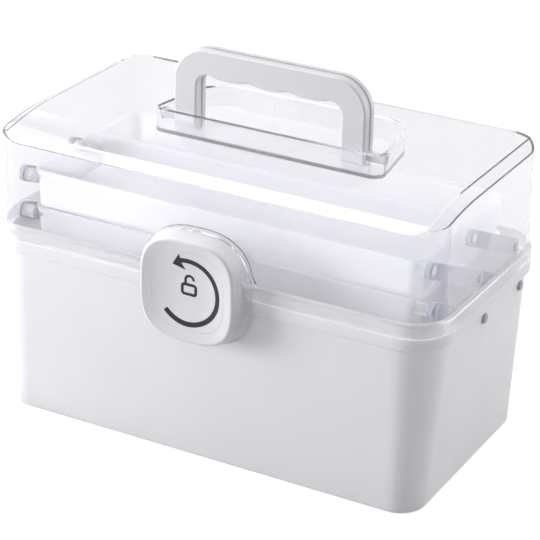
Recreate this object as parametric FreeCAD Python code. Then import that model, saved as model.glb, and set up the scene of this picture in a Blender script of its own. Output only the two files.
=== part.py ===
import FreeCAD, Part
import math
import os

from FreeCAD import Vector

# Medicine box with a clear domed lid, a folding carrying handle, a turning latch knob
# and two inner trays on parallel arms. Millimetres, +Z up, +X to the right of someone
# who faces the knob. The origin is the middle of the flat underside.

# Case outline, shared by the rim of the base and the flange of the lid
case_length = 330.2
case_depth = 173.6
rim_corner = 28.5
seam_height = 126.0
lid_gap = 0.4

# Base
base_wall = 2.0
base_floor = 2.6
collar_step = 2.8
collar_height = 9.8
collar_round = 2.4
foot_lean_ends = 6.7
foot_lean_sides = 1.4
foot_corner = 19.0
foot_round = 3.0

# Lid
lid_wall = 2.0
lid_height = 78.5
lid_corner = 23.0
lid_lean_ends = 1.6
flange_step_ends = 3.0
flange_step_sides = 2.4
flange_height = 9.4
flange_round = 3.4
crown_start = 20.0
crown_radius = 250.0
bevel_width = 8.8
bevel_drop = 4.2

# Handle recess in the top of the lid
recess_depth = 15.0
recess_front_half = 84.0
recess_back_half = 74.0
recess_front_gap = 2.6
recess_back_gap = 2.6
recess_front_corner = 6.0
recess_back_corner = 24.0

# Carrying handle
handle_half_width = 70.7
handle_reach = 52.0
handle_thickness = 13.6
handle_front_face = 0.2
handle_pivot_below_top = 7.2
leg_width = 17.2
grip_height = 16.8
handle_outer_corner = 23.0
handle_inner_corner = 8.8
lobe_count = 3
lobe_sag = 2.0
handle_edge_round = 1.5
core_thickness = 4.0
core_inset = 0.9
handle_pin_radius = 2.5
handle_pin_grip = 11.0
handle_boss_radius = 4.6
handle_boss_gap = 0.5

# Latch knob: outlines are superellipses, which are round at 2 and squarer above it
knob_rise = 2.0
knob_half_width = 34.0
knob_half_height = 34.7
knob_flare = 1.8
knob_squareness = 3.2
knob_depth = 12.9
knob_wall = 2.2
knob_front_wall = 3.6
knob_edge_round = 1.6
hood_start = 20.0
hood_extra = 3.5
dish_rim = 1.8
dish_depth = 4.0
dish_floor = 5.0
dish_steps = 6
face_border = 6.0
face_thickness = 1.0
hub_radius = 9.8
post_radius = 5.5
washer_radius = 7.0
washer_thickness = 0.8
screw_head_radius = 3.6
screw_head_height = 1.6
screw_radius = 1.7
screw_length = 11.5
screw_slot_width = 0.85
screw_slot_length = 4.3
screw_slot_depth = 0.8
cam_radius = 24.0
cam_thickness = 1.6
cam_lobe_angle = 64.0
cam_ring = 2.6

# Raised arch on the lid and hollow in the base, which together frame the knob
arch_half_width = 39.5
arch_half_height = 38.4
arch_squareness = 2.6
arch_rise = 1.8
arch_flare = 5.0
hollow_half_height = 41.0
hollow_depth = 4.8
tongue_half_width = 10.0
tongue_root = 16.0
tongue_thickness = 3.0
catch_inner = 12.5
catch_outer = 21.0
catch_above_axis = 5.0
catch_height = 3.0
catch_depth = 1.4

# Hinges at the back
hinge_spacing = 190.0
hinge_radius = 4.2
hinge_pin_radius = 1.6
hinge_clear = 0.5
knuckle_base_length = 10.0
knuckle_lid_length = 16.0

# Trays and their arms
tray_depth = 129.0
tray_centre_y = 1.5
tray_height = 25.5
tray_corner = 9.0
tray_draft = 1.6
tray_wall = 1.6
tray_floor = 1.8
tray_lip = 1.0
tray_lip_height = 2.4
tray_boss_length = 3.4
pivot_below_rim = 4.2
front_pin_inset = 1.7
rear_pin_inset = 11.5
base_pin_below_seam = 15.5
level_pitch = 26.5
arm_width = 11.0
arm_thickness = 3.0
arm_step = 6.3
arm_shoulder = 2.0
arm_ramp = 5.5
arm_wall_gap = 1.0
boss_radius = 4.2
rivet_radius = 2.0
rivet_head_radius = 2.9
rivet_head_height = 1.0
case_rivet_head_radius = 3.4
case_rivet_head_height = 1.9
rivet_bevel_share = 0.45
divider_y = 19.5
divider_thickness = 1.4
divider_below_rim = 2.0

# Clearances
running_gap = 0.06
side_gap = 0.3
sliding_gap = 0.5
fit_gap = 0.1

# Working values: how far a cut runs past a surface, how near an edge must be to a height
# to be picked, and how many points draw the knob's outline
overrun = 1.0
pick_margin = 0.1
outline_points = 48

# Places worked out from the sizes above
half_length = case_length / 2
half_depth = case_depth / 2
lid_top = seam_height + lid_height
collar_bottom = seam_height - collar_height
wall_top_x = half_length - collar_step
wall_top_y = half_depth - collar_step
lid_half_x = half_length - flange_step_ends
lid_half_y = half_depth - flange_step_sides
knob_z = seam_height + knob_rise
hollow_y = -half_depth + hollow_depth
arch_y = -half_depth - arch_rise
tongue_y = -lid_half_y
hood_back_y = arch_y - sliding_gap
skirt_back_y = hood_back_y - hood_extra
knob_front_y = hood_back_y - knob_depth
face_seat_y = knob_front_y + dish_depth + face_thickness
counterbore_y = face_seat_y + screw_head_height + washer_thickness + 2 * side_gap
post_end_y = counterbore_y - side_gap
hinge_y = half_depth + hinge_clear + hinge_radius
hinge_z = seam_height + lid_gap / 2
handle_pivot_z = lid_top - handle_pivot_below_top
handle_pivot_y = handle_front_face + handle_thickness / 2
handle_back_face = handle_front_face + handle_thickness
recess_floor_z = lid_top - recess_depth
recess_front_y = handle_front_face - recess_front_gap
recess_back_y = handle_pivot_y + handle_reach + recess_back_gap
base_pin_z = seam_height - base_pin_below_seam
mid_pin_z = base_pin_z + level_pitch
top_pin_z = mid_pin_z + level_pitch
pin_spacing = (tray_depth - front_pin_inset - rear_pin_inset) / 2
front_pin_y = tray_centre_y - tray_depth / 2 + front_pin_inset
pin_wall_x = wall_top_x - foot_lean_ends * (1 - base_pin_z / collar_bottom)
arm_outer_x = pin_wall_x - base_wall - arm_wall_gap
lower_inner_x = arm_outer_x - arm_step
upper_outer_x = lower_inner_x + side_gap + arm_thickness
upper_inner_x = upper_outer_x - arm_step
mid_boss_x = lower_inner_x - arm_thickness - side_gap
top_boss_x = upper_inner_x - arm_thickness - side_gap
tray_half_x = top_boss_x - tray_boss_length - tray_lip
tray_tail_x = tray_half_x - tray_wall - tray_draft * pivot_below_rim / tray_height


def cylinder(radius, start, end):
    """Round bar between two points."""
    path = end - start
    return Part.makeCylinder(radius, path.Length, start, path)


def block(low, high):
    """Box between its lowest and highest corners."""
    size = high - low
    return Part.makeBox(size.x, size.y, size.z, low)


def joined(shapes):
    """One clean solid from pieces that overlap."""
    result = shapes[0]
    if len(shapes) > 1:
        result = result.fuse(shapes[1:])
    return result.removeSplitter()


def rounded_outline(half_x, half_y, corner, z, centre_y=0.0):
    """Rectangle with round corners, level at height z."""
    edges = []
    turns = ((1, -1, -90), (1, 1, 0), (-1, 1, 90), (-1, -1, 180))
    arcs = []
    for side_x, side_y, start in turns:
        centre = Vector(side_x * (half_x - corner), centre_y + side_y * (half_y - corner), z)
        points = []
        for step in (0, 45, 90):
            angle = math.radians(start + step)
            points.append(centre + Vector(math.cos(angle), math.sin(angle), 0) * corner)
        arcs.append(points)
    for index, points in enumerate(arcs):
        edges.append(Part.Arc(*points).toShape())
        edges.append(Part.makeLine(points[2], arcs[(index + 1) % 4][0]))
    return Part.Wire(edges)


def rounded_block(half_x, half_y, corner, low, high, centre_y=0.0):
    """Upright block with round vertical edges."""
    face = Part.Face(rounded_outline(half_x, half_y, corner, low, centre_y))
    return face.extrude(Vector(0, 0, high - low))


def lean_block(*outlines):
    """Solid through matching outlines, straight between each two."""
    return Part.makeLoft(list(outlines), True, True)


def round_steps(radius):
    """Quarter circle in straight steps, as pairs of how far in and how far from the end."""
    steps = []
    for angle in (0, 22.5, 45, 67.5, 90):
        turn = math.radians(angle)
        steps.append((radius * (1 - math.sin(turn)), radius * (1 - math.cos(turn))))
    return steps


def squircle(half_width, half_height, squareness, y):
    """Superellipse in a plane that faces the front, centred on the knob's axis."""
    points = []
    for index in range(outline_points):
        angle = 2 * math.pi * index / outline_points
        cos, sin = math.cos(angle), math.sin(angle)
        x = math.copysign(abs(cos) ** (2 / squareness), cos) * half_width
        z = math.copysign(abs(sin) ** (2 / squareness), sin) * half_height
        points.append(Vector(x, y, knob_z + z))
    curve = Part.BSplineCurve()
    curve.interpolate(points, PeriodicFlag=True)
    return Part.Wire([curve.toShape()])


def squircle_block(half_width, half_height, squareness, front, back):
    """Straight-sided block with a superellipse outline, from y = front to y = back."""
    face = Part.Face(squircle(half_width, half_height, squareness, front))
    return face.extrude(Vector(0, back - front, 0))


def base_hollow(margin, back):
    """Room round the knob in the front of the base, as far as y = back."""
    return squircle_block(arch_half_width + margin, hollow_half_height + margin,
                          arch_squareness, knob_front_y, back)


def base_hinge():
    """Knuckles on the base, two for each hinge, with the web that carries them."""
    pieces = []
    reach = knuckle_lid_length / 2 + side_gap
    for side in (-1, 1):
        for end in (-1, 1):
            near = side * hinge_spacing / 2 + end * reach
            far = near + end * knuckle_base_length
            low, high = min(near, far), max(near, far)
            pieces.append(cylinder(hinge_radius, Vector(low, hinge_y, hinge_z),
                                   Vector(high, hinge_y, hinge_z)))
            pieces.append(block(Vector(low, half_depth - base_wall, seam_height - 2 * hinge_radius),
                                Vector(high, hinge_y, seam_height)))
    return pieces


def hinge_web_trim():
    """Wedge taken off below the knuckles so that the web runs down into the collar."""
    drop = seam_height - 2 * hinge_radius
    points = [Vector(-half_length, half_depth, drop - overrun),
              Vector(-half_length, half_depth, drop),
              Vector(-half_length, hinge_y + hinge_radius, seam_height - hinge_radius / 2),
              Vector(-half_length, hinge_y + 2 * hinge_radius, drop - overrun)]
    face = Part.Face(Part.makePolygon(points + points[:1]))
    return face.extrude(Vector(case_length, 0, 0))


def hinge_bore(radius):
    """Bars on both hinge axes, as long as the hinges."""
    reach = knuckle_lid_length / 2 + side_gap + knuckle_base_length
    bars = []
    for side in (-1, 1):
        centre = side * hinge_spacing / 2
        bars.append(cylinder(radius, Vector(centre - reach, hinge_y, hinge_z),
                             Vector(centre + reach, hinge_y, hinge_z)))
    return bars


def base_pins():
    """Centres of the pins in the end walls, as y and z."""
    return [(front_pin_y + pin_spacing, base_pin_z), (front_pin_y + 2 * pin_spacing, base_pin_z)]


def base_body():
    """Outside of the base without hollows: leaning walls and the collar."""
    outlines = []
    for inset, height in round_steps(foot_round):
        outlines.append(rounded_outline(wall_top_x - foot_lean_ends - inset,
                                        wall_top_y - foot_lean_sides - inset,
                                        foot_corner - inset, height))
    outlines.append(rounded_outline(wall_top_x, wall_top_y, rim_corner - collar_step / 2,
                                    collar_bottom))
    collar = rounded_block(half_length, half_depth, rim_corner, collar_bottom, seam_height)
    low_edges = [edge for edge in collar.Edges if edge.BoundBox.ZMax < collar_bottom + pick_margin]
    return joined([lean_block(*outlines), collar.makeFillet(collar_round, low_edges)])


def base_cavity():
    """Inside of the base, which follows the outside one wall thickness in."""
    floor = rounded_outline(wall_top_x - foot_lean_ends - base_wall,
                            wall_top_y - foot_lean_sides - base_wall,
                            foot_corner - base_wall, base_floor)
    brow = rounded_outline(wall_top_x - base_wall, wall_top_y - base_wall,
                           rim_corner - collar_step / 2 - base_wall, seam_height)
    return lean_block(floor, brow).cut(base_hollow(base_wall, hollow_y + base_wall))


def pin_seats():
    """Round pads inside the end walls that the lower arms turn against."""
    seats = []
    inner = arm_outer_x + side_gap
    for side in (-1, 1):
        for y, z in base_pins():
            seats.append(cylinder(boss_radius, Vector(side * inner, y, z),
                                  Vector(side * (pin_wall_x - base_wall / 2), y, z)))
    return seats


def pin_holes():
    """Holes through the end walls and the flat seats of the rivet heads."""
    cuts = []
    seat = pin_wall_x - side_gap
    for side in (-1, 1):
        for y, z in base_pins():
            cuts.append(cylinder(rivet_radius, Vector(side * (arm_outer_x - overrun), y, z),
                                 Vector(side * half_length, y, z)))
            cuts.append(cylinder(case_rivet_head_radius + fit_gap, Vector(side * seat, y, z),
                                 Vector(side * (half_length + overrun), y, z)))
    return cuts


def knob_tongue():
    """Plate that rises from the base past the seam, round on top, with the knob's post."""
    back = tongue_y + tongue_thickness
    plate = block(Vector(-tongue_half_width, tongue_y, seam_height - tongue_root),
                  Vector(tongue_half_width, back, knob_z))
    root = block(Vector(-tongue_half_width, tongue_y, seam_height - tongue_root),
                 Vector(tongue_half_width, hollow_y + base_wall / 2, seam_height))
    rounding = cylinder(tongue_half_width, Vector(0, tongue_y, knob_z), Vector(0, back, knob_z))
    post = cylinder(post_radius, Vector(0, tongue_y, knob_z), Vector(0, post_end_y, knob_z))
    return [plate, root, rounding, post]


def post_hole():
    """Hole for the screw in the end of the post."""
    return cylinder(screw_radius, Vector(0, post_end_y, knob_z),
                    Vector(0, post_end_y + screw_length, knob_z))


def base_shell():
    """White case body with collar, knob hollow, post and hinge knuckles."""
    body = base_body().cut([base_hollow(0, hollow_y), base_cavity()])
    hinge = joined(base_hinge()).cut(hinge_web_trim())
    body = joined([body, hinge] + knob_tongue() + pin_seats())
    return body.cut([post_hole()] + pin_holes() + hinge_bore(hinge_pin_radius))


def crown_profile(inset):
    """Side view of the space above the lid's top: flat, then rounded down, then bevelled."""
    top = lid_top - inset
    radius = crown_radius - inset
    bevel_y = -lid_half_y + bevel_width
    slope = bevel_drop / bevel_width
    turn = math.asin((-crown_start - bevel_y) / radius)
    edge_z = top - radius * (1 - math.cos(turn))
    half_turn = turn / 2
    middle = Vector(0, -crown_start - radius * math.sin(half_turn),
                    top - radius * (1 - math.cos(half_turn)))
    start = Vector(0, -crown_start, top)
    edge = Vector(0, bevel_y, edge_z)
    run = 2 * bevel_width
    front = Vector(0, bevel_y - run, edge_z - run * slope)
    ceiling = lid_top + bevel_width
    back = half_depth + hinge_radius
    outline = [Part.makeLine(Vector(0, back, top), start),
               Part.Arc(start, middle, edge).toShape(),
               Part.makeLine(edge, front),
               Part.makeLine(front, Vector(0, front.y, ceiling)),
               Part.makeLine(Vector(0, front.y, ceiling), Vector(0, back, ceiling)),
               Part.makeLine(Vector(0, back, ceiling), Vector(0, back, top))]
    return Part.Face(Part.Wire(outline))


def crown_cuts(inset):
    """Solids that trim a plain block to the lid's top and its bevelled ends."""
    profile = crown_profile(inset)
    flat_half = lid_half_x - lid_lean_ends - bevel_width
    middle = profile.copy()
    middle.translate(Vector(-flat_half, 0, 0))
    cuts = [middle.extrude(Vector(2 * flat_half, 0, 0))]
    run = 2 * bevel_width
    fall = -run * bevel_drop / bevel_width
    for side in (-1, 1):
        end = profile.copy()
        end.translate(Vector(side * flat_half, 0, 0))
        cuts.append(end.extrude(Vector(side * run, 0, fall)))
    return cuts


def lid_form(inset, low):
    """Dome of the lid moved in by inset all round, open downwards from height low."""
    high = lid_top + bevel_drop
    foot = rounded_outline(lid_half_x - inset, lid_half_y - inset, lid_corner - inset, low)
    lean = lid_lean_ends * (high - low) / lid_height
    brow = rounded_outline(lid_half_x - inset - lean, lid_half_y - inset,
                           lid_corner - inset, high)
    return lean_block(foot, brow).cut(crown_cuts(inset))


def recess_outline(margin, z):
    """D shape of the handle's recess, wider in front, grown by margin."""
    front = recess_front_y - margin
    back = recess_back_y + margin
    front_half = recess_front_half + margin
    back_half = recess_back_half + margin
    corners = [Vector(-front_half, front, z), Vector(front_half, front, z),
               Vector(back_half, back, z), Vector(-back_half, back, z)]
    radii = [recess_front_corner + margin] * 2 + [recess_back_corner + margin] * 2
    arcs = []
    for index, corner in enumerate(corners):
        before = (corners[index - 1] - corner).normalize()
        after = (corners[(index + 1) % 4] - corner).normalize()
        half = before.getAngle(after) / 2
        setback = radii[index] / math.tan(half)
        middle = (before + after).normalize()
        reach = radii[index] / math.sin(half) - radii[index]
        arcs.append((corner + before * setback, corner + middle * reach, corner + after * setback))
    edges = []
    for index, points in enumerate(arcs):
        edges.append(Part.Arc(*points).toShape())
        edges.append(Part.makeLine(points[2], arcs[(index + 1) % 4][0]))
    return Part.Wire(edges)


def recess_block(margin, floor):
    """Straight-sided block in the shape of the recess, from its floor up past the lid."""
    face = Part.Face(recess_outline(margin, floor))
    return face.extrude(Vector(0, 0, lid_top + bevel_drop - floor))


def recess_side_x():
    """Half width of the recess where the handle's pins are."""
    share = (handle_pivot_y - recess_front_y) / (recess_back_y - recess_front_y)
    return recess_front_half + (recess_back_half - recess_front_half) * share


def handle_bosses():
    """Round bosses on the recess's side walls that carry the handle's pins."""
    bosses = []
    inner = handle_half_width + handle_boss_gap
    for side in (-1, 1):
        bosses.append(cylinder(handle_boss_radius,
                               Vector(side * inner, handle_pivot_y, handle_pivot_z),
                               Vector(side * (recess_side_x() + lid_wall / 2),
                                      handle_pivot_y, handle_pivot_z)))
    return bosses


def handle_pin_bars():
    """The two pins, pressed into the bosses and free in the legs."""
    bars = []
    outer = recess_side_x()
    for side in (-1, 1):
        bars.append(cylinder(handle_pin_radius,
                             Vector(side * (handle_half_width - handle_pin_grip),
                                    handle_pivot_y, handle_pivot_z),
                             Vector(side * outer, handle_pivot_y, handle_pivot_z)))
    return bars


def lid_hinge():
    """Knuckles on the lid, one for each hinge, with the web up to the flange."""
    pieces = []
    reach = knuckle_lid_length / 2
    for side in (-1, 1):
        centre = side * hinge_spacing / 2
        pieces.append(cylinder(hinge_radius, Vector(centre - reach, hinge_y, hinge_z),
                               Vector(centre + reach, hinge_y, hinge_z)))
        pieces.append(block(Vector(centre - reach, half_depth - lid_wall, seam_height + lid_gap),
                            Vector(centre + reach, hinge_y, seam_height + flange_height / 2)))
    return pieces


def lid_catches():
    """Low ribs on the lid's front, behind the knob, that the latch cam turns in front of."""
    ribs = []
    low = knob_z + catch_above_axis
    for side in (-1, 1):
        near, far = sorted((side * catch_inner, side * catch_outer))
        ribs.append(block(Vector(near, -lid_half_y - catch_depth, low),
                          Vector(far, -lid_half_y + lid_wall / 2, low + catch_height)))
    return ribs


def downward_slot(radius, front, back):
    """Slot with a round top about the knob's axis, open at the seam."""
    low = block(Vector(-radius, front, seam_height - lid_gap), Vector(radius, back, knob_z))
    arch = cylinder(radius, Vector(0, front, knob_z), Vector(0, back, knob_z))
    return low.fuse(arch)


def lid_arch(inset, front):
    """Raised arch on the lid's front, from y = front back to the lid's wall."""
    low = seam_height + lid_gap
    body = squircle_block(arch_half_width - inset, arch_half_height - inset, arch_squareness,
                          front, -lid_half_y + lid_wall / 2)
    reach = 2 * arch_half_width
    above = block(Vector(-reach, front - overrun, low), Vector(reach, hollow_y, low + reach))
    return body.common(above)


def arch_flares():
    """Hollow-curved fillings between the arch's sides and the top of the flange."""
    shelf = seam_height + lid_gap + flange_height
    start_x = arch_half_width - arch_flare / 2
    centre_x = arch_half_width + arch_flare
    flares = []
    for side in (-1, 1):
        near, far = sorted((side * start_x, side * centre_x))
        solid = block(Vector(near, -half_depth + flange_round / 4, shelf - flange_round / 2),
                      Vector(far, -lid_half_y + lid_wall / 2, shelf + arch_flare))
        scoop = cylinder(arch_flare, Vector(side * centre_x, -half_depth, shelf + arch_flare),
                         Vector(side * centre_x, 0, shelf + arch_flare))
        flares.append(solid.cut(scoop))
    return flares


def lid_shell():
    """Clear lid: dome, flange, raised arch, handle recess with bosses, hinge knuckles."""
    low = seam_height + lid_gap
    dome = lid_form(0, low)
    shelf = low + flange_height
    flange = rounded_block(half_length, half_depth, rim_corner, low, shelf)
    top_edges = [edge for edge in flange.Edges if edge.BoundBox.ZMin > shelf - pick_margin]
    flange = flange.makeFillet(flange_round, top_edges)
    cam_room = downward_slot(cam_radius + sliding_gap, arch_y, -lid_half_y)
    outside = joined([dome, flange, lid_arch(0, arch_y)] + arch_flares())
    outside = outside.cut([cam_room, recess_block(0, recess_floor_z)])
    rim = downward_slot(cam_radius + sliding_gap + lid_wall, arch_y, hollow_y)
    arch_room = lid_arch(lid_wall, arch_y + lid_wall).cut(rim)
    arch_room.translate(Vector(0, 0, -lid_gap))
    inside = lid_form(lid_wall, low - lid_gap).fuse(arch_room)
    inside = inside.cut(recess_block(lid_wall, recess_floor_z - lid_wall))
    shell = joined([outside.cut(inside)] + lid_hinge() + lid_catches() + handle_bosses())
    notch = downward_slot(tongue_half_width + sliding_gap, arch_y, hollow_y + lid_wall)
    return shell.cut([notch] + handle_pin_bars() + hinge_bore(hinge_pin_radius + running_gap))


def handle_outline(inset, y):
    """Front view of the handle: arch with a lobed grip, moved in by inset, at a depth."""
    half = handle_half_width - inset
    top = handle_pivot_z + handle_reach - inset
    inner = handle_half_width - leg_width + inset
    under = handle_pivot_z + handle_reach - grip_height + inset
    bottom = handle_pivot_z - handle_thickness
    outer_corner = handle_outer_corner - inset
    inner_corner = handle_inner_corner + inset

    def at(x, z):
        return Vector(x, y, z)

    def corner_arc(centre_x, centre_z, radius, start, sweep):
        points = []
        for part in (0, 0.5, 1):
            angle = math.radians(start + sweep * part)
            points.append(at(centre_x + radius * math.cos(angle),
                             centre_z + radius * math.sin(angle)))
        return points

    right = corner_arc(half - outer_corner, top - outer_corner, outer_corner, 0, 90)
    left = corner_arc(-half + outer_corner, top - outer_corner, outer_corner, 90, 90)
    inner_left = corner_arc(-inner + inner_corner, under - inner_corner, inner_corner, 180, -90)
    inner_right = corner_arc(inner - inner_corner, under - inner_corner, inner_corner, 90, -90)
    edges = [Part.makeLine(at(half, bottom), right[0]), Part.Arc(*right).toShape(),
             Part.makeLine(right[2], left[0]), Part.Arc(*left).toShape(),
             Part.makeLine(left[2], at(-half, bottom)),
             Part.makeLine(at(-half, bottom), at(-inner, bottom)),
             Part.makeLine(at(-inner, bottom), inner_left[0]), Part.Arc(*inner_left).toShape()]
    start_x = inner_left[2].x
    pitch = (inner_right[0].x - start_x) / lobe_count
    for index in range(lobe_count):
        a = start_x + index * pitch
        edges.append(Part.Arc(at(a, under), at(a + pitch / 2, under - lobe_sag),
                              at(a + pitch, under)).toShape())
    edges += [Part.Arc(*inner_right).toShape(),
              Part.makeLine(inner_right[2], at(inner, bottom)),
              Part.makeLine(at(inner, bottom), at(half, bottom))]
    return Part.Wire(edges)


def handle_side_limit():
    """Side view of the handle: straight faces, and legs rounded about the pins."""
    high = handle_pivot_z + handle_reach
    bar = block(Vector(-half_length, handle_front_face, handle_pivot_z),
                Vector(half_length, handle_back_face, high))
    ends = cylinder(handle_thickness / 2, Vector(-half_length, handle_pivot_y, handle_pivot_z),
                    Vector(half_length, handle_pivot_y, handle_pivot_z))
    return joined([bar, ends])


def handle_cover(open_face, closed_face):
    """Front or rear layer, with a rounded edge round its open face."""
    inward = math.copysign(1, closed_face - open_face)
    outlines = [handle_outline(inset, open_face + inward * depth)
                for inset, depth in round_steps(handle_edge_round)]
    outlines.append(handle_outline(0, closed_face))
    return bored_for_pins(lean_block(*outlines))


def handle_core_layer(front, back):
    """Middle layer, a little smaller than the covers all round."""
    face = Part.Face(handle_outline(core_inset, front))
    return bored_for_pins(face.extrude(Vector(0, back - front, 0)))


def bored_for_pins(plate):
    """Plate of the handle with its leg ends rounded and the holes for the pins."""
    layer = plate.common(handle_side_limit())
    bores = []
    for side in (-1, 1):
        depth = handle_half_width - handle_pin_grip - side_gap
        bores.append(cylinder(handle_pin_radius + running_gap,
                              Vector(side * depth, handle_pivot_y, handle_pivot_z),
                              Vector(side * (handle_half_width + overrun), handle_pivot_y,
                                     handle_pivot_z)))
    return layer.cut(bores)


def knob_size(inset, y):
    """Half width and half height of the knob at a depth, which flares towards the back."""
    share = (y - knob_front_y) / knob_depth
    extra = knob_flare * share - inset
    return knob_half_width + extra, knob_half_height + extra


def knob_section(inset, y):
    """Outline of the knob at a depth, moved in by inset."""
    half_width, half_height = knob_size(inset, y)
    return squircle(half_width, half_height, knob_squareness, y)


def dish_cut():
    """Bowl in the knob's front, steepest at its rim and flat in the middle."""
    reach = knob_half_width - dish_rim - dish_floor
    sections = []
    for index in range(dish_steps + 1):
        share = index / dish_steps
        depth = dish_depth * (1 - (1 - share) ** 2)
        sections.append(knob_section(dish_rim + reach * share, knob_front_y + depth))
    return lean_block(*sections)


def face_block(margin):
    """Straight block from the knob's front down to the face plate's seat, less margin."""
    half_width, half_height = knob_size(dish_rim + face_border + margin, knob_front_y)
    return squircle_block(half_width, half_height, knob_squareness, knob_front_y, face_seat_y)


def knob_shell():
    """Turning knob: flared skirt, deeper hood above, bowl-shaped front and a bored hub."""
    sections = [knob_section(inset, knob_front_y + depth)
                for inset, depth in round_steps(knob_edge_round)]
    body = lean_block(*sections, knob_section(0, hood_back_y))
    inner_front = face_seat_y + knob_front_wall
    cavity = lean_block(knob_section(knob_wall, hood_back_y + overrun),
                        knob_section(knob_wall, inner_front))
    reach = 2 * knob_half_width
    trim = block(Vector(-reach, skirt_back_y, knob_z - reach),
                 Vector(reach, hood_back_y + overrun, knob_z + hood_start))
    shell = body.cut([cavity, trim, dish_cut(), face_block(0)])
    hub = cylinder(hub_radius, Vector(0, face_seat_y, knob_z),
                   Vector(0, tongue_y - sliding_gap, knob_z))
    shell = joined([shell, hub])
    bore = cylinder(post_radius + running_gap, Vector(0, counterbore_y, knob_z),
                    Vector(0, tongue_y, knob_z))
    counterbore = cylinder(washer_radius + sliding_gap, Vector(0, knob_front_y, knob_z),
                           Vector(0, counterbore_y, knob_z))
    return shell.cut([bore, counterbore])


def knob_face():
    """Plate let into the bowl, which goes on with its curve and hides the screw."""
    return face_block(fit_gap).cut(dish_cut())


def latch_cam():
    """Ring on the hub with two lobes that turn in front of the lid's catches."""
    back = tongue_y - catch_depth - side_gap
    front = back - cam_thickness
    ring = cylinder(hub_radius + cam_ring, Vector(0, front, knob_z), Vector(0, back, knob_z))
    disc = cylinder(cam_radius, Vector(0, front, knob_z), Vector(0, back, knob_z))
    half = math.radians(cam_lobe_angle / 2)
    reach = 2 * cam_radius
    lobes = []
    for side in (-1, 1):
        points = [Vector(0, front, knob_z),
                  Vector(side * reach * math.cos(half), front, knob_z - reach * math.sin(half)),
                  Vector(side * reach * math.cos(half), front, knob_z + reach * math.sin(half))]
        face = Part.Face(Part.makePolygon(points + points[:1]))
        lobes.append(face.extrude(Vector(0, cam_thickness, 0)).common(disc))
    cam = joined([ring] + lobes)
    return cam.cut(cylinder(hub_radius, Vector(0, front, knob_z), Vector(0, back, knob_z)))


def knob_washer():
    """Washer on the end of the post that keeps the knob on."""
    end = post_end_y
    ring = cylinder(washer_radius, Vector(0, end - washer_thickness, knob_z), Vector(0, end, knob_z))
    return ring.cut(cylinder(screw_radius, Vector(0, end - washer_thickness, knob_z),
                             Vector(0, end, knob_z)))


def knob_screw():
    """Cross-slotted screw through the washer into the post."""
    under = post_end_y - washer_thickness
    top = under - screw_head_height
    head = cylinder(screw_head_radius, Vector(0, top, knob_z), Vector(0, under, knob_z))
    shank = cylinder(screw_radius, Vector(0, under, knob_z),
                     Vector(0, under + washer_thickness + screw_length, knob_z))
    half = screw_slot_width / 2
    reach = screw_slot_length / 2
    bottom = top + screw_slot_depth
    slots = [block(Vector(-reach, top, knob_z - half), Vector(reach, bottom, knob_z + half)),
             block(Vector(-half, top, knob_z - reach), Vector(half, bottom, knob_z + reach))]
    return joined([head, shank]).cut(slots)


def tray_pins(count):
    """Pivot places along a tray, from the front, as y."""
    return [front_pin_y + index * pin_spacing for index in range(count)]


def tray(pin_z, pin_count, boss_face):
    """Open tray with a lip round the rim and pivot bosses on both ends."""
    rim = pin_z + pivot_below_rim
    low = rim - tray_height
    half_x = tray_half_x
    half_y = tray_depth / 2 - tray_lip
    bottom = rounded_outline(half_x - tray_draft, half_y - tray_draft,
                             tray_corner - tray_draft, low, tray_centre_y)
    top = rounded_outline(half_x, half_y, tray_corner, rim, tray_centre_y)
    lip = rounded_block(half_x + tray_lip, half_y + tray_lip, tray_corner + tray_lip,
                        rim - tray_lip_height, rim, tray_centre_y)
    inside_x = half_x - tray_draft - 2 * tray_wall
    bosses = []
    holes = []
    for side in (-1, 1):
        for y in tray_pins(pin_count):
            bosses.append(cylinder(boss_radius, Vector(side * (half_x - tray_draft), y, pin_z),
                                   Vector(side * boss_face, y, pin_z)))
            holes.append(cylinder(rivet_radius, Vector(side * inside_x, y, pin_z),
                                  Vector(side * (boss_face + overrun), y, pin_z)))
            holes.append(cylinder(rivet_head_radius + fit_gap, Vector(side * inside_x, y, pin_z),
                                  Vector(side * tray_tail_x, y, pin_z)))
    outside = joined([lean_block(bottom, top), lip] + bosses)
    floor = rounded_outline(half_x - tray_draft - tray_wall, half_y - tray_draft - tray_wall,
                            tray_corner - tray_draft - tray_wall, low + tray_floor, tray_centre_y)
    mouth = rounded_outline(half_x - tray_wall, half_y - tray_wall,
                            tray_corner - tray_wall, rim, tray_centre_y)
    return outside.cut([lean_block(floor, mouth)] + holes)


def divider(pin_z):
    """Upright wall along a tray, resting on its floor, trimmed to the leaning ends."""
    rim = pin_z + pivot_below_rim
    low = rim - tray_height + tray_floor
    high = rim - divider_below_rim
    lean = tray_draft / tray_height
    foot_half = tray_half_x - tray_wall - tray_draft - fit_gap
    head_half = foot_half + (high - low) * lean
    points = [Vector(-foot_half, divider_y, low), Vector(foot_half, divider_y, low),
              Vector(head_half, divider_y, high), Vector(-head_half, divider_y, high)]
    face = Part.Face(Part.makePolygon(points + points[:1]))
    return face.extrude(Vector(0, divider_thickness, 0))


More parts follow.
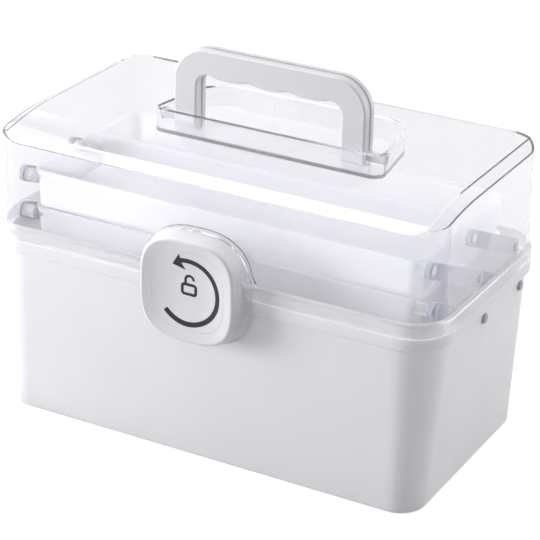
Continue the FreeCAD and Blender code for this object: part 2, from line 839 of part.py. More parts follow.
def arm(side, top_y, top_z, outer_x):
    """Stepped arm from a tray's pivot, near the tray, down and back to the pivot below."""
    bottom_y = top_y + pin_spacing
    bottom_z = top_z - level_pitch
    length = math.hypot(pin_spacing, level_pitch)
    end = arm_width / 2
    ramp_start = end + arm_shoulder
    ramp_end = ramp_start + arm_ramp
    inner_x = outer_x - arm_step
    profile = [(inner_x, -end), (inner_x, ramp_start), (outer_x, ramp_end),
               (outer_x, length + end), (outer_x - arm_thickness, length + end),
               (outer_x - arm_thickness, ramp_end), (inner_x - arm_thickness, ramp_start),
               (inner_x - arm_thickness, -end)]
    along = Vector(0, pin_spacing, -level_pitch).normalize()
    across = Vector(0, level_pitch, pin_spacing).normalize()
    top = Vector(0, top_y, top_z)
    points = [Vector(side * x, 0, 0) + top + along * s - across * end for x, s in profile]
    strip = Part.Face(Part.makePolygon(points + points[:1])).extrude(across * arm_width)
    bottom = Vector(0, bottom_y, bottom_z)
    reach = Vector(half_length, 0, 0)
    eye_top = cylinder(end, top - reach, top + reach)
    eye_bottom = cylinder(end, bottom - reach, bottom + reach)
    corners = [top - across * end, top + across * end, bottom + across * end, bottom - across * end]
    web = Part.Face(Part.makePolygon([point - reach for point in corners + corners[:1]]))
    stadium = joined([web.extrude(reach * 2), eye_top, eye_bottom])
    bores = [cylinder(rivet_radius + running_gap, point - reach, point + reach)
             for point in (top, bottom)]
    return strip.common(stadium).cut(bores)


def rivet(side, y, z, tail_x, head_x, head_radius, head_height):
    """Shank from an inner tail flange to a shallow domed head outside."""
    start = Vector(side * tail_x, y, z)
    seat = Vector(side * head_x, y, z)
    outward = Vector(side, 0, 0)
    shank = cylinder(rivet_radius, start, seat)
    tail = cylinder(rivet_head_radius, start - outward * rivet_head_height / 2, start)
    head = cylinder(head_radius, seat, seat + outward * head_height)
    rim = [edge for edge in head.Edges
           if edge.Closed and abs(edge.Vertexes[0].X) > head_x + head_height - pick_margin]
    head = head.makeChamfer(head_height * rivet_bevel_share, rim)
    return joined([shank, tail, head])


def case_rivets():
    """Four rivets through the end walls that carry the lower arms."""
    seat = pin_wall_x - side_gap
    tail = arm_outer_x - arm_thickness - side_gap
    return [rivet(side, y, z, tail, seat, case_rivet_head_radius, case_rivet_head_height)
            for side in (-1, 1) for y, z in base_pins()]


def tray_rivets(pin_z, heads):
    """Rivets of one tray, given where each one's head sits."""
    rivets = []
    for side in (-1, 1):
        for y, head_x in zip(tray_pins(len(heads)), heads):
            rivets.append(rivet(side, y, pin_z, tray_tail_x, head_x,
                                rivet_head_radius, rivet_head_height))
    return rivets


def build():
    """All nodes of the medicine box by name."""
    nodes = {
        "base_shell": base_shell(),
        "case_rivets": Part.makeCompound(case_rivets()),
        "lid_shell": lid_shell(),
        "handle_pins": Part.makeCompound(handle_pin_bars()),
        "knob_shell": knob_shell(),
        "knob_face": knob_face(),
        "latch_cam": latch_cam(),
        "knob_washer": knob_washer(),
        "knob_screw": knob_screw(),
        "mid_tray": tray(mid_pin_z, 3, mid_boss_x),
        "top_tray": tray(top_pin_z, 2, top_boss_x),
        "mid_divider": divider(mid_pin_z),
        "top_divider": divider(top_pin_z),
    }
    for name, bar in zip(("left", "right"), hinge_bore(hinge_pin_radius)):
        nodes["hinge_pin_" + name] = bar
    core_front = handle_pivot_y - core_thickness / 2
    core_back = handle_pivot_y + core_thickness / 2
    nodes["handle_front"] = handle_cover(handle_front_face, core_front)
    nodes["handle_core"] = handle_core_layer(core_front, core_back)
    nodes["handle_rear"] = handle_cover(handle_back_face, core_back)
    lower_head = lower_inner_x + side_gap
    upper_head = upper_outer_x + side_gap
    nodes["mid_rivets"] = Part.makeCompound(
        tray_rivets(mid_pin_z, [lower_head, upper_head, upper_head]))
    top_head = upper_inner_x + side_gap
    nodes["top_rivets"] = Part.makeCompound(tray_rivets(top_pin_z, [top_head, top_head]))
    for side, side_name in ((-1, "left"), (1, "right")):
        for index, place in enumerate(("front", "rear")):
            top_y = front_pin_y + index * pin_spacing
            nodes["lower_arm_%s_%s" % (place, side_name)] = arm(side, top_y, mid_pin_z, arm_outer_x)
            nodes["upper_arm_%s_%s" % (place, side_name)] = arm(side, top_y, top_pin_z, upper_outer_x)
    return nodes


os.makedirs("parts", exist_ok=True)
for node_name, node_shape in build().items():
    node_shape.exportStep("parts/%s.step" % node_name)
    print(node_name, len(node_shape.Solids), "solids", round(node_shape.Volume), "mm3",
          "valid" if node_shape.isValid() else "NOT VALID")
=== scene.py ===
import math

import bpy
from mathutils import Matrix, Vector
from mathutils.bvhtree import BVHTree


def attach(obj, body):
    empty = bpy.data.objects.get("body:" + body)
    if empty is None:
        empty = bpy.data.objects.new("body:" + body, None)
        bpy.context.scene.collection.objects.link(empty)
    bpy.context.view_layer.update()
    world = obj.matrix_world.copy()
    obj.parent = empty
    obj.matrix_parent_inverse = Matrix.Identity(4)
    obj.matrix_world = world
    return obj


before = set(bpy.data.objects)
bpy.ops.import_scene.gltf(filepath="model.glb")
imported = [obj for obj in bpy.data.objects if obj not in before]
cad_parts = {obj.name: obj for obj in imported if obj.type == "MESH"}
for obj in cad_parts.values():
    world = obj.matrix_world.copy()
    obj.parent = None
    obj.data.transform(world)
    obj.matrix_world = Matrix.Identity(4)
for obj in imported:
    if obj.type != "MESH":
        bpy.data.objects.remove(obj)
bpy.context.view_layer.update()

MM = 0.001
SCENE = bpy.context.scene

# Camera fitted to the photograph: angles in degrees, lengths in millimetres
AZIMUTH, ELEVATION, ROLL = 28.206, 24.735, 1.4177
CAMERA_AIM = (0.0, 0.0, 90.0)
CAMERA_DISTANCE = 1460.34
CAMERA_SHIFT_RIGHT = 4.744
CAMERA_SHIFT_UP = 12.463
FOCAL_PIXELS = 2171.46
PICTURE_PIXELS = 540
SENSOR_WIDTH = 36.0

# Studio: lengths in metres, glows as emission strength
FLOOR_HALF = 40.0
FLOOR_GREY = 0.16
FLOOR_BOUNCE_GREY = 0.5
FLOOR_ROUGHNESS = 0.7
FLOOR_GLOW = 0.9
FLOOR_GLOW_THROUGH_PLASTIC = 0.71
SKY_GLOW = 0.37
SKY_GLOW_THROUGH_PLASTIC = 0.95
LAMP_AIM = (0.0, 0.0, 0.12)
CARD_SIZE = (6.0, 3.0)
CARD_REACH = 3.0
CARD_HEIGHT = 1.2

# Shared values of the plastics
BUMP_REACH = 0.002
DUST_COLOUR = (0.72, 0.71, 0.69)
# Painted sheen: how much lighter in colour the edges are drawn
RUB_PAINTED_SHEEN = 1.12
RUB_SMOOTHER = 0.03

# Places taken from the case, in millimetres
KNOB_Z = 128.0
BEFORE_KNOB_Y = -150.0
FLANGE_HALF = (165.1, 86.8)
FLANGE_CORNER = 28.5
FLANGE_BOTTOM = 126.4
FLANGE_TOP = 135.8
FLANGE_ROUND = 3.4
FROST_MARGIN = 0.05

# Printed symbols on the knob's face, in millimetres about the knob's axis
INK_THICKNESS = 0.06
RING_CENTRE = (-0.2, -1.1)
RING_RADIUS = 21.8
RING_STROKE = 3.3
RING_TAIL = -138.0
RING_HEAD = 104.0
ARROW_HEAD = ((-11.6, 16.4), (-6.2, 24.9), (-5.2, 18.6), (-2.0, 13.9))
PADLOCK_CENTRE = (0.15, 0.7)
PADLOCK_SIZE = (9.8, 6.6)
PADLOCK_STROKE = 2.0
PADLOCK_CORNER = 1.6
SHACKLE_CENTRE = (0.6, 7.2)
SHACKLE_RADIUS = 3.0
SHACKLE_STROKE = 1.8


def group_socket(tree, name, direction, value=None):
    """Adds one named number to a node group's inputs or outputs."""
    socket = tree.interface.new_socket(
        name=name, in_out=direction, socket_type="NodeSocketFloat")
    if value is not None:
        socket.default_value = value


def feed(tree, socket, value):
    """Sets a socket to a number, or links it to another node's output."""
    if isinstance(value, (int, float, tuple)):
        socket.default_value = value
    else:
        tree.links.new(value, socket)


def math_node(tree, operation, a, b=None, clamp=False):
    """One sum on numbers or other nodes' outputs."""
    node = tree.nodes.new("ShaderNodeMath")
    node.operation = operation
    node.use_clamp = clamp
    feed(tree, node.inputs[0], a)
    if b is not None:
        feed(tree, node.inputs[1], b)
    return node.outputs[0]


def noise_node(tree, vector, scale, detail=2.0, roughness=0.5):
    """Smooth random pattern between 0 and 1."""
    node = tree.nodes.new("ShaderNodeTexNoise")
    node.inputs["Detail"].default_value = detail
    node.inputs["Roughness"].default_value = roughness
    feed(tree, node.inputs["Vector"], vector)
    feed(tree, node.inputs["Scale"], scale)
    return node.outputs["Fac"]


def remap(tree, value, from_low, from_high, to_low=0.0, to_high=1.0):
    """Stretches one range of values onto another, held at its ends."""
    node = tree.nodes.new("ShaderNodeMapRange")
    node.clamp = True
    for name, number in (("Value", value), ("From Min", from_low), ("From Max", from_high),
                         ("To Min", to_low), ("To Max", to_high)):
        feed(tree, node.inputs[name], number)
    return node.outputs["Result"]


def mix_colour(tree, factor, a, b):
    """Colour a where the factor is 0, b where it is 1."""
    node = tree.nodes.new("ShaderNodeMix")
    node.data_type = "RGBA"
    for name, value in (("Factor", factor), ("A", a), ("B", b)):
        socket = [s for s in node.inputs if s.name == name and s.enabled][0]
        if isinstance(value, tuple):
            value = value + (1.0,)
        feed(tree, socket, value)
    return [s for s in node.outputs if s.enabled][0]


def object_position(tree):
    """Place on the piece in its own coordinates, in metres."""
    return tree.nodes.new("ShaderNodeTexCoord").outputs["Object"]


def split_vector(tree, vector):
    """X, Y and Z of a vector."""
    node = tree.nodes.new("ShaderNodeSeparateXYZ")
    tree.links.new(vector, node.inputs[0])
    return node.outputs


def new_group(name, inputs, outputs):
    """Empty node group with named numbers in and out."""
    tree = bpy.data.node_groups.new(name, "ShaderNodeTree")
    for socket, value in inputs:
        group_socket(tree, socket, "INPUT", value)
    for socket in outputs:
        group_socket(tree, socket, "OUTPUT")
    given = tree.nodes.new("NodeGroupInput").outputs
    result = tree.nodes.new("NodeGroupOutput").inputs
    return tree, given, result


def moulded_skin_group():
    """Surface of moulded plastic: fine grain, slow sink waves and uneven sheen."""
    tree, given, result = new_group(
        "moulded skin",
        (("Grain Scale", 1400.0), ("Wave Scale", 16.0), ("Cloud Scale", 24.0),
         ("Grain Share", 0.1), ("Sheen Low", 0.25), ("Sheen High", 0.35)),
        ("Height", "Roughness", "Mottle"))
    place = object_position(tree)
    grain = noise_node(tree, place, given["Grain Scale"], 1.0)
    grain = math_node(tree, "MULTIPLY", grain, given["Grain Share"])
    wave = noise_node(tree, place, given["Wave Scale"], 0.0)
    cloud = noise_node(tree, place, given["Cloud Scale"], 1.0)
    feed(tree, result["Height"], math_node(tree, "ADD", wave, grain))
    feed(tree, result["Roughness"],
         remap(tree, cloud, 0.3, 0.7, given["Sheen Low"], given["Sheen High"]))
    feed(tree, result["Mottle"], remap(tree, cloud, 0.25, 0.75))
    return tree


def hair_scratch_group():
    """Sparse hairline scratches in two directions, as a mask."""
    tree, given, result = new_group("hair scratches", (("Density", 0.3),), ("Mask",))
    place = object_position(tree)
    masks = []
    directions = ((0.35, (900.0, 14.0, 900.0)), (-0.9, (16.0, 1100.0, 40.0)))
    for turn, stretch in directions:
        mapping = tree.nodes.new("ShaderNodeMapping")
        mapping.inputs["Rotation"].default_value = (turn * 0.5, turn * 0.3, turn)
        mapping.inputs["Scale"].default_value = stretch
        tree.links.new(place, mapping.inputs["Vector"])
        lines = noise_node(tree, mapping.outputs["Vector"], 1.0, 1.0)
        masks.append(remap(tree, lines, 0.70, 0.78))
    both = math_node(tree, "MAXIMUM", masks[0], masks[1])
    patch = remap(tree, noise_node(tree, place, 18.0), 0.45, 0.7)
    both = math_node(tree, "MULTIPLY", both, patch)
    feed(tree, result["Mask"], math_node(tree, "MULTIPLY", both, given["Density"]))
    return tree


def upward_dust_group():
    """Light dust on surfaces that face up, as a mask."""
    tree, given, result = new_group("upward dust", (("Amount", 0.2),), ("Mask",))
    normal = tree.nodes.new("ShaderNodeNewGeometry").outputs["Normal"]
    facing = remap(tree, split_vector(tree, normal)["Z"], 0.5, 1.0)
    fine = noise_node(tree, object_position(tree), 420.0, 3.0, 0.7)
    specks = remap(tree, fine, 0.5, 0.75)
    both = math_node(tree, "MULTIPLY", facing, specks)
    feed(tree, result["Mask"], math_node(tree, "MULTIPLY", both, given["Amount"]))
    return tree


def edge_rub_and_sheen_group():
    """Outer and inner edges, as a mask: there handling polishes the plastic smoother, and a
    painted sheen draws it lighter.
    """
    tree, given, result = new_group("edge rub", (("Reach", 0.0012), ("Amount", 0.5)), ("Mask",))
    rounded = tree.nodes.new("ShaderNodeBevel")
    rounded.samples = 4
    feed(tree, rounded.inputs["Radius"], given["Reach"])
    flat = tree.nodes.new("ShaderNodeNewGeometry").outputs["Normal"]
    dot = tree.nodes.new("ShaderNodeVectorMath")
    dot.operation = "DOT_PRODUCT"
    tree.links.new(rounded.outputs[0], dot.inputs[0])
    tree.links.new(flat, dot.inputs[1])
    edge = remap(tree, dot.outputs["Value"], 0.7, 0.98, 1.0, 0.0)
    broken = remap(tree, noise_node(tree, object_position(tree), 90.0), 0.3, 0.6, 0.3, 1.0)
    both = math_node(tree, "MULTIPLY", edge, broken)
    feed(tree, result["Mask"], math_node(tree, "MULTIPLY", both, given["Amount"]))
    return tree


def ejector_ring_group():
    """Round marks that a mould's ejector pins leave on level surfaces, as a height."""
    rim_blur = 0.0001
    tree, given, result = new_group(
        "ejector rings", (("Pitch X", 0.08), ("Pitch Y", 0.05), ("Radius", 0.004)), ("Height",))
    place = split_vector(tree, object_position(tree))
    squares = []
    for axis, pitch in (("X", given["Pitch X"]), ("Y", given["Pitch Y"])):
        cell = math_node(tree, "DIVIDE", place[axis], pitch)
        offset = math_node(tree, "SUBTRACT", math_node(tree, "FRACT", cell), 0.5)
        distance = math_node(tree, "MULTIPLY", offset, pitch)
        squares.append(math_node(tree, "MULTIPLY", distance, distance))
    radius = math_node(tree, "SQRT", math_node(tree, "ADD", squares[0], squares[1]))
    inside = remap(tree, math_node(tree, "SUBTRACT", given["Radius"], radius),
                   -rim_blur, rim_blur)
    normal = tree.nodes.new("ShaderNodeNewGeometry").outputs["Normal"]
    upright = math_node(tree, "ABSOLUTE", split_vector(tree, normal)["Z"])
    level = remap(tree, upright, 0.97, 0.99)
    feed(tree, result["Height"], math_node(tree, "MULTIPLY", inside, level))
    return tree


SKIN = moulded_skin_group()
SCRATCH = hair_scratch_group()
DUST = upward_dust_group()
RUB_AND_SHEEN = edge_rub_and_sheen_group()
EJECTOR = ejector_ring_group()


def placed_group(tree, group, **values):
    """One use of a shared effect, with its own values."""
    node = tree.nodes.new("ShaderNodeGroup")
    node.node_tree = group
    for name, value in values.items():
        node.inputs[name.replace("_", " ").title()].default_value = value
    return node.outputs


def plastic(name, colour, shade, sheen, grain_share=0.1, grain_scale=1400.0, relief=0.03,
            dust=0.08, scratches=0.0, rub_and_sheen=0.0, ejectors=0.0):
    """Moulded plastic.

    colour and shade are its two close tones, sheen is its roughness range, and relief,
    dust, scratches, rub_and_sheen and ejectors say how much of each effect it shows;
    rub_and_sheen polishes the edges smoother and paints a sheen on them, lighter in colour.
    """
    material = bpy.data.materials.new(name)
    material.use_nodes = True
    tree = material.node_tree
    shader = tree.nodes["Principled BSDF"]
    skin = placed_group(tree, SKIN, grain_share=grain_share, grain_scale=grain_scale,
                        sheen_low=sheen[0], sheen_high=sheen[1])
    tone = mix_colour(tree, skin["Mottle"], colour, shade)
    rough = skin["Roughness"]
    height = skin["Height"]
    if dust:
        mask = placed_group(tree, DUST, amount=dust)["Mask"]
        tone = mix_colour(tree, mask, tone, DUST_COLOUR)
    # Edges: polished smoother, and a painted sheen that draws them lighter in colour
    if rub_and_sheen:
        mask = placed_group(tree, RUB_AND_SHEEN, amount=rub_and_sheen)["Mask"]
        painted_sheen = tuple(min(1.0, part * RUB_PAINTED_SHEEN) for part in colour)
        tone = mix_colour(tree, mask, tone, painted_sheen)
        polish = math_node(tree, "MULTIPLY", mask, RUB_SMOOTHER)
        rough = math_node(tree, "SUBTRACT", rough, polish, clamp=True)
    if scratches:
        mask = placed_group(tree, SCRATCH, density=scratches)["Mask"]
        rough = math_node(tree, "ADD", rough, mask, clamp=True)
    if ejectors:
        rings = placed_group(tree, EJECTOR)["Height"]
        depth = math_node(tree, "MULTIPLY", rings, ejectors)
        height = math_node(tree, "SUBTRACT", height, depth)
    tree.links.new(tone, shader.inputs["Base Color"])
    tree.links.new(rough, shader.inputs["Roughness"])
    bump = tree.nodes.new("ShaderNodeBump")
    bump.inputs["Strength"].default_value = relief
    bump.inputs["Distance"].default_value = BUMP_REACH
    tree.links.new(height, bump.inputs["Height"])
    tree.links.new(bump.outputs["Normal"], shader.inputs["Normal"])
    return material


def set_shader(material, **values):
    """Sets constants on the material's own shader sockets."""
    shader = material.node_tree.nodes["Principled BSDF"]
    for name, value in values.items():
        shader.inputs[name.replace("_", " ")].default_value = value
    return material


def other_shader_for(material, ray, other):
    """Shows another shader to one kind of ray, and the material's own to the rest."""
    tree = material.node_tree
    choice = tree.nodes.new("ShaderNodeMixShader")
    path = tree.nodes.new("ShaderNodeLightPath")
    tree.links.new(path.outputs[ray], choice.inputs[0])
    tree.links.new(tree.nodes["Principled BSDF"].outputs[0], choice.inputs[1])
    tree.links.new(other.outputs[0], choice.inputs[2])
    tree.links.new(choice.outputs[0], tree.nodes["Material Output"].inputs["Surface"])


def lets_lamps_through(material, tint):
    """Light from the lamps passes through the piece as through a thin clear wall."""
    clear = material.node_tree.nodes.new("ShaderNodeBsdfTransparent")
    clear.inputs["Color"].default_value = tint + (1.0,)
    other_shader_for(material, "Is Shadow Ray", clear)


def paint_edge_on_shade(material, tint, start):
    """Paints shade into the wall's colour: darker the nearer to edge-on it is seen, from start
    on.
    """
    tree = material.node_tree
    shader = tree.nodes["Principled BSDF"]
    facing = tree.nodes.new("ShaderNodeLayerWeight").outputs["Facing"]
    share = remap(tree, facing, start, 1.0)
    plain = shader.inputs["Base Color"].links[0].from_socket
    tree.links.new(mix_colour(tree, share, plain, tint), shader.inputs["Base Color"])


def plated_steel(name):
    """Thin zinc-plated steel with fine brushing."""
    material = plastic(name, (0.62, 0.63, 0.65), (0.50, 0.51, 0.54), (0.22, 0.42),
                       grain_share=0.6, relief=0.08, dust=0.0)
    return set_shader(material, Metallic=1.0)


CASE_WHITE = plastic("case white", (0.655, 0.65, 0.675), (0.64, 0.635, 0.66), (0.31, 0.38),
                     rub_and_sheen=0.4, ejectors=0.5)
KNOB_WHITE = plastic("knob white", (0.64, 0.635, 0.66), (0.625, 0.62, 0.645), (0.31, 0.38),
                     rub_and_sheen=0.6, scratches=0.1)
HANDLE_WHITE = plastic("handle white", (0.615, 0.615, 0.64), (0.60, 0.60, 0.625), (0.33, 0.40),
                       grain_share=0.25, rub_and_sheen=0.6)
LID_CLEAR = plastic("lid clear", (0.94, 0.94, 0.955), (0.93, 0.93, 0.95), (0.03, 0.07),
                    grain_share=0.0, relief=0.02, dust=0.0, scratches=0.25)
TRAY_FROSTED = plastic("tray frosted", (0.87, 0.87, 0.88), (0.85, 0.85, 0.865), (0.29, 0.38),
                       grain_share=0.4, dust=0.0, ejectors=0.5)
ARM_FROSTED = plastic("arm frosted", (0.45, 0.455, 0.53), (0.42, 0.425, 0.50), (0.30, 0.38),
                      dust=0.0, rub_and_sheen=0.3)
RIVET_GREY = plastic("rivet grey", (0.36, 0.36, 0.40), (0.31, 0.31, 0.35), (0.35, 0.5), rub_and_sheen=0.5)
RIVET_PALE = plastic("rivet pale", (0.62, 0.62, 0.68), (0.59, 0.59, 0.65), (0.32, 0.40),
                     dust=0.0)
FLANGE_FROST = plastic("flange frost", (0.64, 0.635, 0.655), (0.62, 0.615, 0.635), (0.30, 0.38),
                       grain_share=0.4, dust=0.0)
PIN_WHITE = plastic("pin white", (0.70, 0.70, 0.73), (0.67, 0.67, 0.70), (0.3, 0.4), dust=0.0)
INK_BLACK = plastic("ink black", (0.012, 0.013, 0.020), (0.017, 0.018, 0.027), (0.40, 0.50),
                    grain_share=0.5, dust=0.0)
STEEL = plated_steel("plated steel")

set_shader(CASE_WHITE, Subsurface_Weight=0.5, Subsurface_Scale=0.01,
           Subsurface_Radius=(1.0, 1.0, 1.0))
set_shader(LID_CLEAR, Transmission_Weight=0.96, IOR=1.3)
set_shader(TRAY_FROSTED, Transmission_Weight=0.7, IOR=1.25)
set_shader(ARM_FROSTED, Transmission_Weight=0.15, IOR=1.35)
set_shader(FLANGE_FROST, Alpha=0.55)
set_shader(INK_BLACK, Specular_IOR_Level=0.3)
lets_lamps_through(LID_CLEAR, (0.96, 0.96, 0.965))
lets_lamps_through(TRAY_FROSTED, (0.94, 0.94, 0.95))
lets_lamps_through(FLANGE_FROST, (0.95, 0.95, 0.96))
# Painted shade: the lid and the trays are drawn darker in colour where seen edge-on
paint_edge_on_shade(LID_CLEAR, (0.90, 0.90, 0.925), 0.8)
paint_edge_on_shade(TRAY_FROSTED, (0.55, 0.55, 0.60), 0.5)

# The arms, which aren't listed, are frosted
NODE_MATERIALS = {
    "base_shell": CASE_WHITE,
    "lid_shell": LID_CLEAR,
    "handle_front": HANDLE_WHITE,
    "handle_core": HANDLE_WHITE,
    "handle_rear": HANDLE_WHITE,
    "handle_pins": PIN_WHITE,
    "knob_shell": KNOB_WHITE,
    "knob_face": KNOB_WHITE,
    "latch_cam": KNOB_WHITE,
    "knob_washer": STEEL,
    "knob_screw": STEEL,
    "hinge_pin_left": STEEL,
    "hinge_pin_right": STEEL,
    "mid_tray": TRAY_FROSTED,
    "top_tray": TRAY_FROSTED,
    "mid_divider": TRAY_FROSTED,
    "top_divider": TRAY_FROSTED,
    "case_rivets": RIVET_GREY,
    "mid_rivets": RIVET_GREY,
    "top_rivets": RIVET_PALE,
}
for node_name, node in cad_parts.items():
    finish = NODE_MATERIALS.get(node_name, ARM_FROSTED)
    node.data.materials.clear()
    node.data.materials.append(finish)


def add_mesh(name, points, faces, material, body):
    """New piece from points in millimetres."""
    mesh = bpy.data.meshes.new(name)
    mesh.from_pydata([Vector(p) * MM for p in points], [], faces)
    mesh.update()
    piece = bpy.data.objects.new(name, mesh)
    SCENE.collection.objects.link(piece)
    mesh.materials.append(material)
    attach(piece, body)
    return piece


def arc(centre, radius, start, end, count=64):
    """Points along an arc, angles in degrees, counter-clockwise from +X."""
    points = []
    for step in range(count + 1):
        angle = math.radians(start + (end - start) * step / count)
        points.append((centre[0] + radius * math.cos(angle),
                       centre[1] + radius * math.sin(angle)))
    return points


def rounded_rectangle(centre, half, corner, count):
    """Points round a rectangle with round corners, counter-clockwise from the lower right."""
    points = []
    for side_x, side_y, start in ((1, -1, -90), (1, 1, 0), (-1, 1, 90), (-1, -1, 180)):
        middle = (centre[0] + side_x * (half[0] - corner),
                  centre[1] + side_y * (half[1] - corner))
        points += arc(middle, corner, start, start + 90, count)
    return points


def stroke(points, width, closed=False):
    """Both sides of a line of constant width through points."""
    left, right = [], []
    count = len(points)
    for index in range(count):
        before = points[index - 1] if closed or index > 0 else points[index]
        after = points[(index + 1) % count] if closed or index < count - 1 else points[index]
        run_x, run_z = after[0] - before[0], after[1] - before[1]
        reach = width / 2 / math.hypot(run_x, run_z)
        x, z = points[index]
        left.append((x - run_z * reach, z + run_x * reach))
        right.append((x + run_z * reach, z - run_x * reach))
    if closed:
        left.append(left[0])
        right.append(right[0])
    return left, right


def face_plate_tree():
    """Search tree of the knob's face plate, for finding its front."""
    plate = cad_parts["knob_face"]
    corners = [plate.matrix_world @ vertex.co for vertex in plate.data.vertices]
    return BVHTree.FromPolygons(corners, [tuple(side.vertices) for side in plate.data.polygons])


def plate_front(x, z):
    """Depth of the face plate's front in millimetres at a place about the knob's axis."""
    start = Vector((x, BEFORE_KNOB_Y, KNOB_Z + z)) * MM
    return FACE_PLATE.ray_cast(start, Vector((0.0, 1.0, 0.0)))[0].y / MM


def ink_strip(left, right, points, faces):
    """Adds the front and the two thin sides of one printed strip that follows the plate."""
    start = len(points)
    for (ax, az), (bx, bz) in zip(left, right):
        for x, z in ((ax, az), (bx, bz)):
            y = plate_front(x, z)
            points.append((x, y, KNOB_Z + z))
            points.append((x, y - INK_THICKNESS, KNOB_Z + z))
    for index in range(len(left) - 1):
        a = start + 4 * index
        faces.append((a + 3, a + 1, a + 5, a + 7))
        faces.append((a + 1, a, a + 4, a + 5))
        faces.append((a + 2, a + 3, a + 7, a + 6))


FACE_PLATE = face_plate_tree()


def turning_arrow():
    """Ring with an arrow head that shows which way the knob opens."""
    points, faces = [], []
    ring = arc(RING_CENTRE, RING_RADIUS, RING_TAIL, RING_HEAD)
    ink_strip(*stroke(ring, RING_STROKE), points, faces)
    tip, upper, notch, lower = ARROW_HEAD
    ink_strip([tip, upper], [tip, notch], points, faces)
    ink_strip([tip, notch], [tip, lower], points, faces)
    return add_mesh("knob_print_arrow", points, faces, INK_BLACK, "knob")


def open_padlock():
    """Outline of an open padlock."""
    points, faces = [], []
    half = (PADLOCK_SIZE[0] / 2, PADLOCK_SIZE[1] / 2)
    body = rounded_rectangle(PADLOCK_CENTRE, half, PADLOCK_CORNER, 8)
    ink_strip(*stroke(body, PADLOCK_STROKE, closed=True), points, faces)
    shackle = [(SHACKLE_CENTRE[0] - SHACKLE_RADIUS, PADLOCK_CENTRE[1] + half[1])]
    shackle += arc(SHACKLE_CENTRE, SHACKLE_RADIUS, 180, 0, 24)
    ink_strip(*stroke(shackle, SHACKLE_STROKE), points, faces)
    return add_mesh("knob_print_padlock", points, faces, INK_BLACK, "knob")


def flange_outline(inset, z, count=12):
    """Points round the flange at height z, moved in by inset."""
    half = (FLANGE_HALF[0] - inset, FLANGE_HALF[1] - inset)
    outline = rounded_rectangle((0.0, 0.0), half, FLANGE_CORNER - inset, count)
    return [(x, y, z) for x, y in outline]


def flange_frost():
    """Frosted skin of the lid's flange, just inside its outer surface."""
    round_start = FLANGE_TOP - FLANGE_ROUND
    radius = FLANGE_ROUND - FROST_MARGIN
    rings = [(FROST_MARGIN, FLANGE_BOTTOM + FROST_MARGIN), (FROST_MARGIN, round_start)]
    for angle in (22.5, 45.0, 67.5, 90.0):
        turn = math.radians(angle)
        rings.append((FROST_MARGIN + radius * (1 - math.cos(turn)),
                      round_start + radius * math.sin(turn)))
    points, faces = [], []
    for inset, z in rings:
        points += flange_outline(inset, z)
    around = len(points) // len(rings)
    for ring in range(len(rings) - 1):
        for index in range(around):
            a, b = ring * around + index, ring * around + (index + 1) % around
            faces.append((a, b, b + around, a + around))
    return add_mesh("lid_flange_frost", points, faces, FLANGE_FROST, "lid")


def camera():
    """Camera at the photograph's angle."""
    azimuth, elevation, roll = (math.radians(angle) for angle in (AZIMUTH, ELEVATION, ROLL))
    back = Vector((math.sin(azimuth) * math.cos(elevation),
                   -math.cos(azimuth) * math.cos(elevation), math.sin(elevation)))
    level = Vector((math.cos(azimuth), math.sin(azimuth), 0.0))
    upright = back.cross(level)
    right = math.cos(roll) * level + math.sin(roll) * upright
    up = math.cos(roll) * upright - math.sin(roll) * level
    place = (Vector(CAMERA_AIM) + back * CAMERA_DISTANCE + right * CAMERA_SHIFT_RIGHT
             + up * CAMERA_SHIFT_UP) * MM
    data = bpy.data.cameras.new("camera")
    data.sensor_width = SENSOR_WIDTH
    data.lens = FOCAL_PIXELS / PICTURE_PIXELS * SENSOR_WIDTH
    eye = bpy.data.objects.new("camera", data)
    SCENE.collection.objects.link(eye)
    turned = Matrix((right, up, back)).transposed().to_4x4()
    eye.matrix_world = Matrix.Translation(place) @ turned
    SCENE.camera = eye


def grey(level):
    """Colour of equal parts."""
    return (level, level, level, 1.0)


def seen_through_plastic(tree):
    """1 where the eye looks through clear plastic, 0 elsewhere."""
    path = tree.nodes.new("ShaderNodeLightPath")
    straight = math_node(tree, "SUBTRACT", 1.0, path.outputs["Diffuse Depth"], clamp=True)
    return math_node(tree, "MULTIPLY", path.outputs["Is Transmission Ray"], straight)


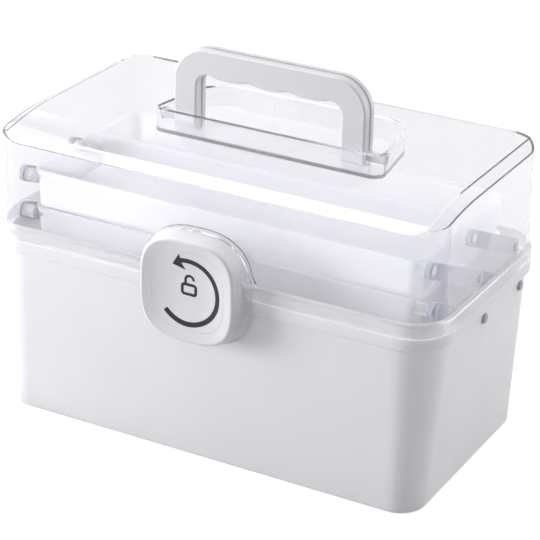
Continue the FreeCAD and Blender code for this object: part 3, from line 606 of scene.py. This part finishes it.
def studio_floor():
    """Plain pale floor, which glows evenly and takes soft shadows."""
    mesh = bpy.data.meshes.new("floor")
    corners = [(x * FLOOR_HALF, y * FLOOR_HALF, 0)
               for x, y in ((-1, -1), (1, -1), (1, 1), (-1, 1))]
    mesh.from_pydata(corners, [], [(0, 1, 2, 3)])
    floor = bpy.data.objects.new("floor", mesh)
    SCENE.collection.objects.link(floor)
    material = bpy.data.materials.new("floor")
    material.use_nodes = True
    set_shader(material, Base_Color=grey(FLOOR_GREY), Roughness=FLOOR_ROUGHNESS,
               Emission_Color=grey(1.0))
    tree = material.node_tree
    glow = remap(tree, seen_through_plastic(tree), 0.0, 1.0,
                 FLOOR_GLOW, FLOOR_GLOW_THROUGH_PLASTIC)
    feed(tree, tree.nodes["Principled BSDF"].inputs["Emission Strength"], glow)
    bounce = tree.nodes.new("ShaderNodeBsdfDiffuse")
    bounce.inputs["Color"].default_value = grey(FLOOR_BOUNCE_GREY)
    other_shader_for(material, "Is Diffuse Ray", bounce)
    mesh.materials.append(material)


def area_light(name, place, size, power, level=False, card=False):
    """Soft rectangular lamp that looks at the middle of the box, or straight down.

    A card is only seen mirrored or through clear plastic, and lights nothing else.
    """
    data = bpy.data.lights.new(name, "AREA")
    data.shape = "RECTANGLE"
    data.size, data.size_y = size
    data.energy = power
    lamp = bpy.data.objects.new(name, data)
    SCENE.collection.objects.link(lamp)
    lamp.location = place
    lamp.visible_transmission = card
    lamp.visible_diffuse = not card
    if not level:
        aim = Vector(LAMP_AIM) - Vector(place)
        lamp.rotation_euler = aim.to_track_quat("-Z", "Y").to_euler()


def studio_light():
    """Even white surroundings, five soft lamps, and white cards for the clear lid to show."""
    world = bpy.data.worlds.new("studio")
    SCENE.world = world
    world.use_nodes = True
    tree = world.node_tree
    background = tree.nodes["Background"]
    background.inputs["Color"].default_value = grey(1.0)
    glow = remap(tree, seen_through_plastic(tree), 0.0, 1.0,
                 SKY_GLOW, SKY_GLOW_THROUGH_PLASTIC)
    feed(tree, background.inputs["Strength"], glow)
    area_light("overhead", (-0.6, 0.1, 1.4), (1.3, 1.7), 13.0)
    area_light("bevel strip", (-0.63, 0.2, 1.35), (1.0, 0.3), 6.0, level=True)
    area_light("front right", (1.1, -0.9, 1.0), (0.8, 0.8), 2.2)
    area_light("front left", (-1.4, -0.85, 0.25), (0.7, 0.7), 31.0)
    area_light("rear right", (1.0, 0.85, 0.45), (0.6, 0.8), 7.0)
    for name, x, y, power in (("rear card", 0.0, CARD_REACH, 22.0),
                              ("left card", -CARD_REACH, 0.0, 40.0),
                              ("right card", CARD_REACH, 0.0, 40.0)):
        area_light(name, (x, y, CARD_HEIGHT), CARD_SIZE, power, card=True)
    SCENE.view_settings.view_transform = "Standard"
    SCENE.view_settings.look = "None"


turning_arrow()
open_padlock()
flange_frost()
camera()
studio_floor()
studio_light()
